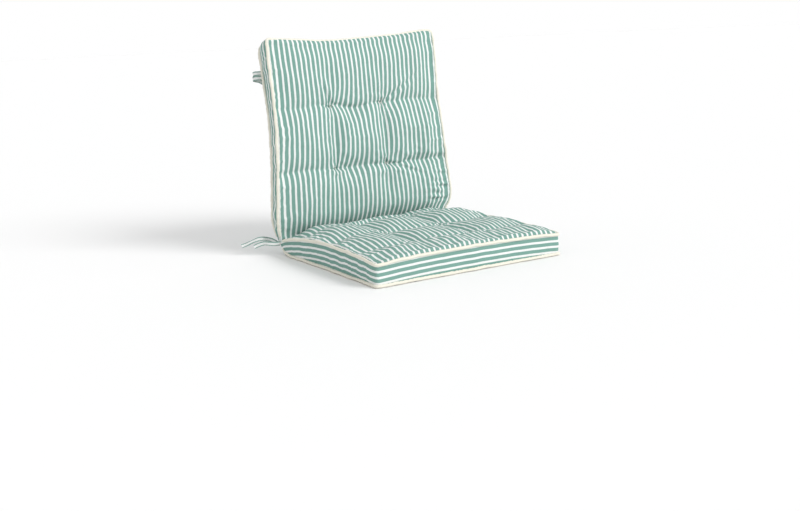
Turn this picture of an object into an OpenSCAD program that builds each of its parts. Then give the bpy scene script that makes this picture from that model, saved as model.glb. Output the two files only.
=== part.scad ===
// Tufted seat pad for a garden chair: a seat section and a back section joined by a sewn fold.
// The seat section lies flat on z = 0 with its front edge towards -Y, and the back section
// stands up from the fold at its rear edge. The origin is the centre of the seat's underside.
// Sizes are in millimetres and angles in degrees.

/* [Pad] */
// Width of both sections, over the piping
pad_width = 480; // [440:5:520]
// Length of the seat section, from the fold to the front edge
seat_depth = 475; // [455:5:520]
// Length of the back section, from the fold to the top edge
back_height = 490; // [460:5:560]
// Angle that the back section is turned up from lying flat
back_angle = 87; // [75:1:90]

/* [Thickness] */
// Height of the seat section's edge, over both rows of piping
seat_edge = 54; // [50:1:60]
// Height of the back section's edge, over both rows of piping
back_edge = 46; // [42:1:50]
// Rise of the seat's top above its edge seam
seat_crown = 18; // [8:1:24]
// Rise of the back's front above its edge seam
back_crown = 19; // [8:1:22]
// Height of the fold above the underside
fold_height = 27; // [24:1:30]

/* [Edges] */
// Diameter of the piping
piping_d = 7; // [6:0.5:8]
// Diameter of the cord inside the piping
piping_cord_d = 4.6; // [4:0.2:5]
// Radius of the outer corners
corner_r = 16; // [12:1:24]
// Thickness of the striped canvas
canvas = 1.2; // [1:0.1:1.6]
// Thickness of the soft layer over the core
wadding = 12; // [8:1:16]

/* [Tufts] */
// Distance between the seat's two columns of tufts
seat_tuft_columns = 152; // [120:4:180]
// Distance between the rows of tufts on the seat
seat_tuft_spacing = 145; // [130:5:150]
// Distance from the fold to the seat's nearest row of tufts
seat_tuft_start = 90; // [88:2:100]
// Distance between the back's two columns of tufts
back_tuft_columns = 144; // [120:4:180]
// Distance between the rows of tufts on the back
back_tuft_spacing = 152; // [130:1:160]
// Distance from the fold to the back's nearest row of tufts
back_tuft_start = 168; // [150:2:180]

/* [Ties] */
// Width of the tie tapes
tape_width = 10; // [8:1:12]
// Thickness of the tie tapes, which are a folded strip of canvas
tape_thickness = 1.6; // [1.2:0.1:2]

/* [Hidden] */
piping_r = piping_d / 2;
piping_lift = 0.5;                      // the lower piping stays this far above the ground
lower_seam = piping_r + piping_lift;
half_width = pad_width / 2;
fold_y = seat_depth / 2;
fold_bead_r = 3;
fold_gap = 0.3;                         // room that the back section leaves round the fold's bead
fold_bead_half = half_width - piping_r + 3;
piping_end_r = 18;                      // the piping stops this far from the fold's axis
bottom_run = 45;                        // length over which the underside rises to the fold
bottom_radius = arc_radius(bottom_run, fold_height);
thread_r = 1;
tack_r = 3;
tack_sunk = 1.5;
tack_proud = 0.8;
overshoot = 2;
clear_height = 110;                     // taller than any section
crown_lead = 3;                         // the crown's arc starts this far inside the rounding
$fn = 96;
fine = 720;                             // facets of the large, shallow arcs

green = [0.50, 0.69, 0.62];
pale_green = [0.66, 0.80, 0.74];
cream = [0.96, 0.94, 0.85];
white = [0.97, 0.97, 0.96];

// A section is its length, edge height, crown, length of its rounding at the fold, tuft rows and
// the distance between its tuft columns.
SEAT = [seat_depth, seat_edge, seat_crown, 85,
        [for (row = [0:2]) seat_tuft_start + row * seat_tuft_spacing], seat_tuft_columns];
BACK = [back_height, back_edge, back_crown, 60,
        [for (row = [0:1]) back_tuft_start + row * back_tuft_spacing], back_tuft_columns];

// Routes of the left-hand tapes: each point is a place and the direction of the tape's width.
// x is measured from the pad's left edge. The lower routes have y and z from the fold's axis. The
// upper ones are drawn with the back section lying flat: y from the fold, z up from its underside.
// The loops leave room for a chair post about 22 across, upright behind each corner.
LOWER_TIE_FRONT = [
    [[2.8, -1.5, 0], [0, 0, 1]],
    [[-6, -1.5, 0], [0, 0, 1]],
    [[-18, 0.5, 1.5], [0, 0, 1]],
    [[-27, 5.5, 3], [0, 0, 1]],
    [[-32, 13, 3], [0, 0, 1]],
    [[-38, 19, 1], [0, 0.2, 1]],
    [[-45, 24, -2], [0, 0.4, 1]],
    [[-52, 28, -5.5], [0, 0.5, 1]]];
LOWER_TIE_REAR = [
    [[2.8, 1.3, 0], [0, 0, 1]],
    [[-1, 1.3, 0], [0, 0, 1]],
    [[-4, 12, 4], [0, 0, 1]],
    [[-9, 24, 7], [0, 0, 1]],
    [[-19, 28, 10], [0, 0, 1]],
    [[-29, 25, 12.5], [0, 0, 1]],
    [[-40, 28, 12], [0, 0.5, 1]],
    [[-51, 35, 7.5], [0, 1, 0.7]],
    [[-63, 42, 1.5], [0, 1, 0.9]],
    [[-76, 49, -3.5], [0, 0.6, 1]]];
UPPER_TIE_TOP = [
    [[1.1, 411, 4], [0, 1, 0]],
    [[-4, 411, 1], [0, 1, 0]],
    [[-7, 411, -5], [0, 1, 0]],
    [[-8, 410, -13], [0, 1, 0]],
    [[-5, 409, -21], [0, 1, 0]],
    [[4, 408, -26], [0, 1, 0]],
    [[16, 407, -26], [0, 1, 0]],
    [[28, 403, -23], [0.3, 1, 0]],
    [[37, 388, -19], [1, 0.7, 0]],
    [[40, 352, -16], [1, 0, 0]],
    [[40, 315, -15], [1, 0, 0.2]]];
UPPER_TIE_LOW = [
    [[1.1, 400, 4], [0, 1, 0]],
    [[-4, 400, 1], [0, 1, 0]],
    [[-7, 400, -5], [0, 1, 0]],
    [[-8, 399, -13], [0, 1, 0]],
    [[-6, 398, -22], [0, 1, 0]],
    [[3, 396, -29], [0, 1, 0]],
    [[15, 393, -31], [0.2, 1, 0]],
    [[27, 384, -29], [0.7, 1, 0]],
    [[34, 367, -26], [1, 0.3, 0]],
    [[37, 342, -24], [1, 0, 0]],
    [[36, 320, -23], [1, 0, 0.2]]];

// Radius of an arc that is level at one end and climbs by rise over run.
function arc_radius(run, rise) = (run * run + rise * rise) / (2 * rise);
function length_of(section) = section[0];
function seam_of(section) = section[1] - piping_r;
function crown_of(section) = section[2];
function run_of(section) = section[3];
function rows_of(section) = section[4];
function columns_of(section) = section[5];
function top_radius(section) = arc_radius(run_of(section), seam_of(section) - fold_height);

// The crown is two shallow arcs: one across the section and one along it.
function across_radius(section) = arc_radius(half_width, crown_of(section));
function crown_half(section) = (length_of(section) - run_of(section) + crown_lead) / 2;
function along_radius(section) = arc_radius(crown_half(section), crown_of(section));
function crown_middle(section) = length_of(section) - crown_half(section);
function dip(radius, distance) = radius - sqrt(radius * radius - distance * distance);
function top_height(section, x, y) = seam_of(section) + crown_of(section)
    - max(dip(across_radius(section), x), dip(along_radius(section), y - crown_middle(section)));

// A section is drawn lying flat: y runs from the fold at 0 to the far edge, z up from the underside.
module place_seat() {
    translate([0, fold_y, 0]) mirror([0, 1, 0]) children();
}

module place_back() {
    translate([0, fold_y, fold_height]) rotate([back_angle, 0, 0])
        translate([0, 0, -fold_height]) children();
}

// Turns an outline drawn in y and z into a bar across the pad.
module across_pad() {
    rotate([90, 0, 90]) linear_extrude(height = pad_width + overshoot, center = true) children();
}

// Everything under the edge seam's level and its rounding at the fold, drawn in by inset.
module below_seam(section, inset) {
    run = run_of(section);
    seam = seam_of(section);
    radius = top_radius(section);
    across_pad() {
        translate([run, -overshoot])
            square([length_of(section) - run, seam - inset + overshoot]);
        intersection() {
            translate([run, seam - radius]) circle(r = radius - inset, $fn = fine);
            translate([0, -overshoot]) square([run, seam + 2 * overshoot]);
        }
    }
}

// Everything over the underside and its rise to the fold, drawn in by inset.
module above_underside(section, inset) {
    across_pad() {
        translate([bottom_run, inset])
            square([length_of(section) - bottom_run, clear_height]);
        intersection() {
            translate([bottom_run, bottom_radius])
                circle(r = bottom_radius - inset, $fn = fine);
            square([bottom_run, clear_height]);
        }
    }
}

// The crowned part above the seam's level.
module crown(section, inset) {
    run = run_of(section);
    apex = seam_of(section) + crown_of(section);
    across = across_radius(section);
    along = along_radius(section);
    intersection() {
        translate([0, 0, apex - across]) rotate([-90, 0, 0])
            cylinder(r = across - inset, h = length_of(section), $fn = fine);
        translate([0, crown_middle(section), apex - along]) rotate([0, 90, 0])
            cylinder(r = along - inset, h = pad_width + overshoot, center = true, $fn = fine);
        translate([-half_width - 1, run, seam_of(section) - inset - overshoot])
            cube([pad_width + 2, length_of(section) - run, crown_of(section) + 2 * overshoot]);
    }
}

module below_top(section, inset) {
    below_seam(section, inset);
    crown(section, inset);
}

// The section's plan, drawn in by inset, as a tall block.
module outline(section, inset) {
    length = length_of(section);
    corner_x = half_width - corner_r;
    translate([0, 0, -overshoot]) linear_extrude(height = clear_height) {
        translate([inset - half_width, 0])
            square([pad_width - 2 * inset, length - corner_r]);
        translate([-corner_x, 0])
            square([2 * corner_x, length - inset]);
        for (side = [-1, 1])
            translate([side * corner_x, length - corner_r]) circle(r = corner_r - inset);
    }
}

module body_of(section, side_inset, top_inset, bottom_inset) {
    intersection() {
        outline(section, piping_r + side_inset);
        below_top(section, top_inset);
        above_underside(section, bottom_inset);
    }
}

// A rod that follows the sides and the far edge, from start out, at one height.
module edge_rod(section, start, height, radius) {
    length = length_of(section);
    side_x = half_width - piping_r;
    corner_x = half_width - corner_r;
    for (side = [-1, 1]) {
        translate([side * side_x, start, height]) rotate([-90, 0, 0])
            cylinder(r = radius, h = length - corner_r - start);
        translate([side * corner_x, length - corner_r, height])
            rotate([0, 0, side > 0 ? 0 : 90])
                rotate_extrude(angle = 90) translate([corner_r - piping_r, 0]) circle(r = radius);
    }
    translate([-corner_x, length - piping_r, height]) rotate([0, 90, 0])
        cylinder(r = radius, h = 2 * corner_x);
}

// The rod's curved ends, which come together at the fold. turn is -90 for the upper rod and 90
// for the lower one.
module fold_rods(centre_y, centre_z, bend, sweep, radius, turn) {
    for (side = [-1, 1])
        translate([side * (half_width - piping_r), centre_y, centre_z]) rotate([0, turn, 180])
            rotate_extrude(angle = sweep) translate([bend, 0]) circle(r = radius);
}

module upper_rod(section, radius) {
    run = run_of(section);
    bend = top_radius(section);
    edge_rod(section, run, seam_of(section), radius);
    fold_rods(run, seam_of(section) - bend, bend, asin(run / bend), radius, -90);
}

module lower_rod(section, radius) {
    edge_rod(section, bottom_run, lower_seam, radius);
    fold_rods(bottom_run, bottom_radius, bottom_radius - lower_seam,
              asin(bottom_run / bottom_radius), radius, 90);
}

module fold_cylinder(radius) {
    translate([0, 0, fold_height]) rotate([0, 90, 0])
        cylinder(r = radius, h = pad_width + 2 * overshoot, center = true);
}

// Threads through the filling, each with a round tack on the crowned side.
module tuft_threads(section) {
    for (side = [-1, 1], row = rows_of(section)) {
        x = side * columns_of(section) / 2;
        top = top_height(section, x, row);
        translate([x, row, 0]) cylinder(r = thread_r, h = top - tack_sunk);
        translate([x, row, top - tack_sunk]) cylinder(r = tack_r, h = tack_sunk + tack_proud);
    }
}

// Takes the room of the piping, the threads and the fold out of a layer.
module fitted(section, fold_room) {
    difference() {
        children();
        upper_piping(section, piping_r);
        lower_piping(section, piping_r);
        tuft_threads(section);
        fold_cylinder(fold_room);
    }
}

module core(section, fold_room) {
    fitted(section, fold_room) intersection() {
        outline(section, piping_r + canvas);
        below_seam(section, canvas + wadding);
        above_underside(section, canvas);
    }
}

module soft_layer(section, fold_room) {
    fitted(section, fold_room) difference() {
        body_of(section, canvas, canvas, canvas);
        below_seam(section, canvas + wadding);
    }
}

module top_panel(section, fold_room) {
    fitted(section, fold_room) difference() {
        body_of(section, 0, 0, canvas);
        below_top(section, canvas);
    }
}

module bottom_panel(section, fold_room) {
    fitted(section, fold_room) difference() {
        body_of(section, 0, canvas, 0);
        above_underside(section, canvas);
    }
}

module boxing(section, fold_room) {
    fitted(section, fold_room) difference() {
        body_of(section, 0, canvas, canvas);
        outline(section, piping_r + canvas);
    }
}

// The piping's own length of each rod, which stops short of the fold.
module upper_piping(section, radius) {
    difference() {
        upper_rod(section, radius);
        fold_cylinder(piping_end_r);
    }
}

module lower_piping(section, radius) {
    difference() {
        lower_rod(section, radius);
        fold_cylinder(piping_end_r);
    }
}

module upper_piping_cover(section) {
    difference() {
        upper_rod(section, piping_r);
        upper_rod(section, piping_cord_d / 2);
        fold_cylinder(piping_end_r);
    }
}

module lower_piping_cover(section) {
    difference() {
        lower_rod(section, piping_r);
        lower_rod(section, piping_cord_d / 2);
        fold_cylinder(piping_end_r);
    }
}

// A flat tape is an eight-sided ring carried along a route.
function unit(v) = v / norm(v);
function heading(route, i) =
    unit(route[min(i + 1, len(route) - 1)][0] - route[max(i - 1, 0)][0]);
function tape_outline() =
    let (w = tape_width / 2, t = tape_thickness / 2, bevel = 0.6 * t)
    [[w, t - bevel], [w - bevel, t], [bevel - w, t], [-w, t - bevel],
     [-w, bevel - t], [bevel - w, -t], [w - bevel, -t], [w, bevel - t]];
function tape_ring(route, i) =
    let (along = heading(route, i),
         across = unit(route[i][1] - along * (route[i][1] * along)),
         out = cross(along, across))
    [for (p = tape_outline()) route[i][0] + across * p[0] + out * p[1]];

module tape(route) {
    rings = len(route);
    sides = len(tape_outline());
    last = (rings - 1) * sides;
    points = [for (i = [0:rings - 1]) each tape_ring(route, i)];
    walls = [for (i = [0:rings - 2], k = [0:sides - 1])
             let (a = i * sides + k, b = i * sides + (k + 1) % sides)
             each [[a, b + sides, b], [a, a + sides, b + sides]]];
    start_cap = [for (k = [0:sides - 1]) k];
    end_cap = [for (k = [0:sides - 1]) last + sides - 1 - k];
    polyhedron(points = points, faces = concat(walls, [start_cap, end_cap]));
}

module lower_tape(route) {
    color(pale_green) translate([-half_width, fold_y, fold_height]) tape(route);
}

module upper_tape(route) {
    color(pale_green) place_back() translate([-half_width, 0, 0]) tape(route);
}

module seat_core() { color(white) place_seat() core(SEAT, fold_bead_r); }
module seat_top_wadding() { color(white) place_seat() soft_layer(SEAT, fold_bead_r); }
module seat_top_panel() { color(green) place_seat() top_panel(SEAT, fold_bead_r); }
module seat_bottom_panel() { color(green) place_seat() bottom_panel(SEAT, fold_bead_r); }
module seat_boxing() { color(pale_green) place_seat() boxing(SEAT, fold_bead_r); }
module seat_top_piping_cover() { color(cream) place_seat() upper_piping_cover(SEAT); }
module seat_top_piping_cord() { color(white) place_seat() upper_piping(SEAT, piping_cord_d / 2); }
module seat_bottom_piping_cover() { color(cream) place_seat() lower_piping_cover(SEAT); }
module seat_bottom_piping_cord() { color(white) place_seat() lower_piping(SEAT, piping_cord_d / 2); }
module seat_tuft_ties() { color(white) place_seat() tuft_threads(SEAT); }
module seat_left_tie_front() { lower_tape(LOWER_TIE_FRONT); }
module seat_left_tie_rear() { lower_tape(LOWER_TIE_REAR); }
module seat_right_tie_front() { mirror([1, 0, 0]) lower_tape(LOWER_TIE_FRONT); }
module seat_right_tie_rear() { mirror([1, 0, 0]) lower_tape(LOWER_TIE_REAR); }

// The rolled bead of canvas that joins the two sections. It is sewn to the seat section.
module fold_seam() {
    color(cream) translate([0, fold_y, fold_height]) rotate([0, 90, 0])
        cylinder(r = fold_bead_r, h = 2 * fold_bead_half, center = true);
}

module back_core() { color(white) place_back() core(BACK, fold_bead_r + fold_gap); }
module back_front_wadding() { color(white) place_back() soft_layer(BACK, fold_bead_r + fold_gap); }
module back_front_panel() { color(green) place_back() top_panel(BACK, fold_bead_r + fold_gap); }
module back_rear_panel() { color(green) place_back() bottom_panel(BACK, fold_bead_r + fold_gap); }
module back_boxing() { color(pale_green) place_back() boxing(BACK, fold_bead_r + fold_gap); }
module back_front_piping_cover() { color(cream) place_back() upper_piping_cover(BACK); }
module back_front_piping_cord() { color(white) place_back() upper_piping(BACK, piping_cord_d / 2); }
module back_rear_piping_cover() { color(cream) place_back() lower_piping_cover(BACK); }
module back_rear_piping_cord() { color(white) place_back() lower_piping(BACK, piping_cord_d / 2); }
module back_tuft_ties() { color(white) place_back() tuft_threads(BACK); }
module back_left_tie_top() { upper_tape(UPPER_TIE_TOP); }
module back_left_tie_low() { upper_tape(UPPER_TIE_LOW); }
module back_right_tie_top() { mirror([1, 0, 0]) upper_tape(UPPER_TIE_TOP); }
module back_right_tie_low() { mirror([1, 0, 0]) upper_tape(UPPER_TIE_LOW); }

seat_core();
seat_top_wadding();
seat_top_panel();
seat_bottom_panel();
seat_boxing();
seat_top_piping_cover();
seat_top_piping_cord();
seat_bottom_piping_cover();
seat_bottom_piping_cord();
seat_tuft_ties();
fold_seam();
seat_left_tie_front();
seat_left_tie_rear();
seat_right_tie_front();
seat_right_tie_rear();
back_core();
back_front_wadding();
back_front_panel();
back_rear_panel();
back_boxing();
back_front_piping_cover();
back_front_piping_cord();
back_rear_piping_cover();
back_rear_piping_cord();
back_tuft_ties();
back_left_tie_top();
back_left_tie_low();
back_right_tie_top();
back_right_tie_low();
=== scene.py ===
"""A tufted, striped seat pad for a garden chair: a seat section and a back section joined at a fold.

Each section is worked out lying flat: x across, u from the fold to the far edge and w up from the
underside. place() then puts it where the CAD model has it. Everything is in metres.
"""
import math

import bpy
import numpy as np
from mathutils import Matrix, Vector


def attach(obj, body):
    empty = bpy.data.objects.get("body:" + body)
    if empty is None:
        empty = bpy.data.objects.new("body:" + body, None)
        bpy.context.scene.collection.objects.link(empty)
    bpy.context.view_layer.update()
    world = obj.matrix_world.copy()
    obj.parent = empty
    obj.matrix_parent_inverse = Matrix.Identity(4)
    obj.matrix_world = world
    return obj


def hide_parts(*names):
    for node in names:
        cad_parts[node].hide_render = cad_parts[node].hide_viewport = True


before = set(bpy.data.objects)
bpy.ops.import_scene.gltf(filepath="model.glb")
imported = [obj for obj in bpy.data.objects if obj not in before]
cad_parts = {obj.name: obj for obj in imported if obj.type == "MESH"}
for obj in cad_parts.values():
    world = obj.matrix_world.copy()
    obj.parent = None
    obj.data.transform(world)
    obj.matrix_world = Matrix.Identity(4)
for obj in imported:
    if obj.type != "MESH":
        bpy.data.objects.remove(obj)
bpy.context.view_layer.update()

FOLD_Y, FOLD_Z = 0.2375, 0.027
BACK_TURN = math.radians(87)
HALF = 0.2365               # half the cut width of a panel, seam to seam
PIPING_R = 0.0035
CANVAS = 0.0011
STRIPE = 0.0128
COLUMNS, ROWS = 189, 189    # points of a panel's grid, across and along


# ---------------------------------------------------------------- small tools

def smooth_curve(knots, values, at):
    """A smooth curve through (knots, values), read at an array of places."""
    k, v = np.asarray(knots, float), np.asarray(values, float)
    slope = np.gradient(v, k)
    i = np.clip(np.searchsorted(k, at) - 1, 0, len(k) - 2)
    h = k[i + 1] - k[i]
    t = np.clip((at - k[i]) / h, 0, 1)
    return ((2 * t**3 - 3 * t**2 + 1) * v[i] + (t**3 - 2 * t**2 + t) * h * slope[i]
            + (3 * t**2 - 2 * t**3) * v[i + 1] + (t**3 - t**2) * h * slope[i + 1])


def ripples(x, y, size, seed, spread=0.3):
    """Smooth seeded bumps of about this size, of height about 1."""
    rng = np.random.default_rng(seed)
    total = np.zeros(np.broadcast(x, y).shape)
    for _ in range(22):
        k = 2 * math.pi / (size * math.exp(rng.normal(0, spread)))
        turn, phase = rng.uniform(0, 2 * math.pi, 2)
        total += np.cos(k * (x * math.cos(turn) + y * math.sin(turn)) + phase)
    return total * math.sqrt(2 / 22)


def rise(distance, reach, power=0.8):
    """0 at a seam and 1 beyond reach, as a stuffed edge rises from it."""
    d = np.clip(distance / reach, 0, 1)
    return (1 - (1 - d) ** 2) ** power


def smoothstep(a, b, v):
    t = np.clip((v - a) / (b - a), 0, 1)
    return t * t * (3 - 2 * t)


def unit(v):
    return v / np.maximum(np.linalg.norm(v, axis=-1, keepdims=True), 1e-12)


def grid_normals(p):
    """Normals of a grid of points, from its neighbours."""
    return unit(np.cross(np.gradient(p, axis=1), np.gradient(p, axis=0)))


def finer(p):
    """A grid of twice the resolution through the same points, with smooth in-betweens."""
    for axis in (0, 1):
        p = np.moveaxis(p, axis, 0)
        q = np.concatenate([2 * p[:1] - p[1:2], p, 2 * p[-1:] - p[-2:-1]])
        middle = (9 * (q[1:-2] + q[2:-1]) - q[:-3] - q[3:]) / 16
        out = np.empty((2 * len(p) - 1, *p.shape[1:]))
        out[0::2], out[1::2] = p, middle
        p = np.moveaxis(out, 0, axis)
    return p


UP = np.array([0, 0, 1.0])


def heading(turn):
    """A level direction, turned this far from x."""
    return np.array([math.cos(turn), math.sin(turn), 0])


def run_along(points):
    """The distance along a line of each of its points."""
    return np.concatenate([[0], np.cumsum(np.linalg.norm(np.diff(points, axis=0), axis=1))])


def resample(points, step):
    """The same line with evenly spaced points."""
    points = np.asarray(points, float)
    run = run_along(points)
    at = np.linspace(0, run[-1], max(2, round(run[-1] / step) + 1))
    return np.stack([np.interp(at, run, points[:, k]) for k in range(3)], -1), at


def spline(points, per_span):
    """A smooth line through a few points."""
    p = np.asarray(points, float)
    q = np.concatenate([2 * p[:1] - p[1:2], p, 2 * p[-1:] - p[-2:-1]])
    out = []
    for i in range(len(p) - 1):
        a, b, c, d = q[i:i + 4]
        for t in np.arange(per_span) / per_span:
            out.append(0.5 * (2 * b + (c - a) * t + (2 * a - 5 * b + 4 * c - d) * t**2
                              + (3 * b - a - 3 * c + d) * t**3))
    return np.array(out + [p[-1]])


def make_piece(name, points, faces, fabric, material, body):
    """One mesh that rides on a body. fabric is each point's place in the cloth, in metres."""
    mesh = bpy.data.meshes.new(name)
    mesh.from_pydata([tuple(p) for p in points], [], [tuple(f) for f in faces])
    mesh.validate()
    place = mesh.attributes.new("fabric", "FLOAT_VECTOR", "POINT")
    flat = np.zeros((len(points), 3))
    fabric = np.asarray(fabric, float)
    flat[:, :fabric.shape[1]] = fabric
    place.data.foreach_set("vector", flat.astype(np.float32).ravel())
    mesh.polygons.foreach_set("use_smooth", [True] * len(mesh.polygons))
    mesh.materials.append(material)
    piece = bpy.data.objects.new(name, mesh)
    bpy.context.scene.collection.objects.link(piece)
    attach(piece, body)
    return piece


def grid_faces(n, m, start=0):
    i, j = np.meshgrid(np.arange(n - 1), np.arange(m - 1), indexing="ij")
    a = (start + i * m + j).ravel()
    return np.stack([a, a + 1, a + m + 1, a + m], -1)


def shell(outer, inner):
    """Points and faces of a closed sheet between two grids of the same size."""
    n, m = outer.shape[:2]
    half = n * m
    rim = ([(i, 0) for i in range(n)] + [(n - 1, j) for j in range(1, m)]
           + [(i, m - 1) for i in range(n - 2, -1, -1)] + [(0, j) for j in range(m - 2, 0, -1)])
    rim = np.array([i * m + j for i, j in rim])
    after = np.roll(rim, -1)
    walls = np.stack([rim, after, after + half, rim + half], -1)
    faces = np.concatenate([grid_faces(n, m), grid_faces(n, m, half)[:, ::-1], walls[:, ::-1]])
    return np.concatenate([outer.reshape(-1, 3), inner.reshape(-1, 3)]), faces.tolist()


def tube(path, radii, sides):
    """Points, faces and cloth places of a closed round tube."""
    path = np.asarray(path, float)
    along = unit(np.gradient(path, axis=0))
    # Any direction that no tube starts along will do here.
    across = [unit(np.cross(along[0], [0.31, 0.17, 0.93]))]
    for d in along[1:]:
        across.append(unit(across[-1] - d * (across[-1] @ d)))
    across = np.array(across)
    up = np.cross(along, across)
    angle = 2 * math.pi * np.arange(sides) / sides
    radii = np.asarray(radii, float)
    size = radii if radii.ndim == 2 else radii[..., None] * np.ones((len(path), sides))
    points = (path[:, None] + size[..., None] * (across[:, None] * np.cos(angle)[:, None]
                                                 + up[:, None] * np.sin(angle)[:, None]))
    run = run_along(path)
    fabric = np.stack(np.broadcast_arrays(angle * np.mean(size), run[:, None]), -1)
    n = len(path)
    faces = []
    for i in range(n - 1):
        for k in range(sides):
            a, b = i * sides + k, i * sides + (k + 1) % sides
            faces.append((a, b, b + sides, a + sides))
    faces.append(tuple(range(sides - 1, -1, -1)))
    faces.append(tuple(range((n - 1) * sides, n * sides)))
    return points.reshape(-1, 3), faces, fabric.reshape(-1, 2)


class Heap:
    """Several small solids gathered into one piece."""

    def __init__(self):
        self.points, self.faces, self.fabric = [], [], []
        self.count = 0

    def add(self, points, faces, fabric):
        self.points.append(points)
        self.faces += [tuple(v + self.count for v in f) for f in faces]
        self.fabric.append(fabric)
        self.count += len(points)

    def piece(self, name, material, body, slot):
        return make_piece(name, np.concatenate(self.points), self.faces,
                          np.concatenate(self.fabric), material, body)


# ---------------------------------------------------------------- camera

# The chair's seat slopes back, so the pad is seen turned about the X axis by this angle.
SLOPE = math.radians(4.72)
VIEW_TURN, VIEW_RISE = math.radians(-31.777), math.radians(15.885)
VIEW_DISTANCE, VIEW_SIDE, VIEW_LIFT = 2.5055, -0.0338, 0.0176
VIEW_BEHIND = 0.237         # from the centre of its turning to the fold
LENS, SENSOR = 47.45, 36


def level(v):
    """From the sloping chair's frame to the pad's own."""
    c, s = math.cos(SLOPE), math.sin(SLOPE)
    return Vector((v[0], v[1] * c - v[2] * s, v[1] * s + v[2] * c))


def make_camera():
    c, s = math.cos(VIEW_TURN), math.sin(VIEW_TURN)
    back = Vector((s * math.cos(VIEW_RISE), -c * math.cos(VIEW_RISE), math.sin(VIEW_RISE)))
    right = Vector((c, s, 0))
    up = back.cross(right)
    eye = back * VIEW_DISTANCE + right * VIEW_SIDE + up * VIEW_LIFT - Vector((0, VIEW_BEHIND, 0))
    axes = Matrix([level(right), level(up), level(back)]).transposed().to_4x4()
    data = bpy.data.cameras.new("camera")
    data.lens, data.sensor_width, data.sensor_fit = LENS, SENSOR, "HORIZONTAL"
    data.clip_start, data.clip_end = 0.05, 200
    camera = bpy.data.objects.new("camera", data)
    camera.matrix_world = Matrix.Translation(level(eye) + Vector((0, FOLD_Y, 0))) @ axes
    bpy.context.scene.collection.objects.link(camera)
    bpy.context.scene.camera = camera


make_camera()


# ---------------------------------------------------------------- materials

def new_material(name, roughness=0.85, sheen=0.0):
    material = bpy.data.materials.new(name)
    material.use_nodes = True
    shader = material.node_tree.nodes["Principled BSDF"]
    shader.inputs["Roughness"].default_value = roughness
    shader.inputs["Specular IOR Level"].default_value = 0.15
    shader.inputs["Sheen Weight"].default_value = sheen
    shader.inputs["Sheen Roughness"].default_value = 0.5
    return material, material.node_tree, shader


def node(tree, kind, inputs=(), **settings):
    """A node with its settings, and its inputs as values or as sockets to link from."""
    made = tree.nodes.new(kind)
    for key, value in settings.items():
        setattr(made, key, value)
    for key, value in dict(inputs).items():
        if isinstance(value, bpy.types.NodeSocket):
            tree.links.new(value, made.inputs[key])
        else:
            made.inputs[key].default_value = value
    return made


def math_node(tree, operation, *values):
    return node(tree, "ShaderNodeMath", dict(enumerate(values)), operation=operation).outputs[0]


def ramp(tree, factor, stops):
    made = node(tree, "ShaderNodeValToRGB", {0: factor})
    while len(made.color_ramp.elements) < len(stops):
        made.color_ramp.elements.new(0.5)
    for element, (place, colour) in zip(made.color_ramp.elements, stops):
        element.position = place
        element.color = (*colour, 1) if np.ndim(colour) else (colour, colour, colour, 1)
    return made.outputs[0]


def cloth_place(tree):
    """The cloth's own coordinates: across the stripes and along them."""
    where = node(tree, "ShaderNodeAttribute", attribute_name="fabric")
    parts = node(tree, "ShaderNodeSeparateXYZ", {0: where.outputs["Vector"]})
    return where.outputs["Vector"], parts.outputs[0], parts.outputs[1]


def stretched_noise(tree, where, across, along):
    """Noise with this many bumps a metre across the stripes and along them."""
    squeeze = node(tree, "ShaderNodeMapping", {"Vector": where, "Scale": (across, along, 1)})
    made = node(tree, "ShaderNodeTexNoise", {"Vector": squeeze.outputs[0], "Scale": 1.0,
                                             "Detail": 2.0, "Roughness": 0.55})
    return made.outputs["Fac"]


def weave_height(tree, across, along, pitch):
    """Over and under of a plain weave, as a height from 0 to 1."""
    waves = []
    for thread in (across, along):
        waves.append(math_node(tree, "SINE", math_node(tree, "MULTIPLY", thread,
                                                       2 * math.pi / pitch)))
    cross = math_node(tree, "MULTIPLY", *waves)
    return math_node(tree, "MULTIPLY_ADD", cross, 0.5, 0.5)


def add_bump(tree, shader, height, strength, distance):
    bump = node(tree, "ShaderNodeBump", {"Height": height, "Strength": strength,
                                         "Distance": distance})
    tree.links.new(bump.outputs[0], shader.inputs["Normal"])


GREEN, WHITE, CREAM = (0.172, 0.318, 0.276), (0.73, 0.745, 0.735), (0.745, 0.72, 0.63)


def striped_canvas(name, shift, green_share=0.655):
    """Sage and white stripes that follow the cloth, with a plain weave and uneven yarns."""
    material, tree, shader = new_material(name, 0.88, 0.04)
    where, across, along = cloth_place(tree)
    yarns = stretched_noise(tree, where, 2600, 120)
    picks = stretched_noise(tree, where, 160, 2400)
    patches = stretched_noise(tree, where, 28, 28)
    wander = math_node(tree, "MULTIPLY_ADD", stretched_noise(tree, where, 8, 260), 0.0003,
                       shift - 0.00015)
    phase = math_node(tree, "FRACT", math_node(
        tree, "DIVIDE", math_node(tree, "ADD", across, wander), STRIPE))
    edge = 0.022
    stripes = ramp(tree, phase, [
        (0.0, WHITE), (edge, GREEN), (green_share - edge, GREEN), (green_share, WHITE),
        (1.0, WHITE)])
    shade = math_node(tree, "ADD", math_node(tree, "MULTIPLY", yarns, 0.26),
                      math_node(tree, "MULTIPLY", picks, 0.20))
    shade = math_node(tree, "ADD", shade, math_node(tree, "MULTIPLY_ADD", patches, 0.10, 0.72))
    grey = node(tree, "ShaderNodeCombineColor", {0: shade, 1: shade, 2: shade})
    mixed = node(tree, "ShaderNodeMix", {0: 1.0, 6: stripes, 7: grey.outputs[0]},
                 data_type="RGBA", blend_type="MULTIPLY")
    tree.links.new(mixed.outputs[2], shader.inputs["Base Color"])
    weave = weave_height(tree, across, along, 0.0011)
    height = math_node(tree, "ADD", weave, math_node(tree, "MULTIPLY", yarns, 0.8))
    add_bump(tree, shader, height, 0.35, 0.00025)
    return material


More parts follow.
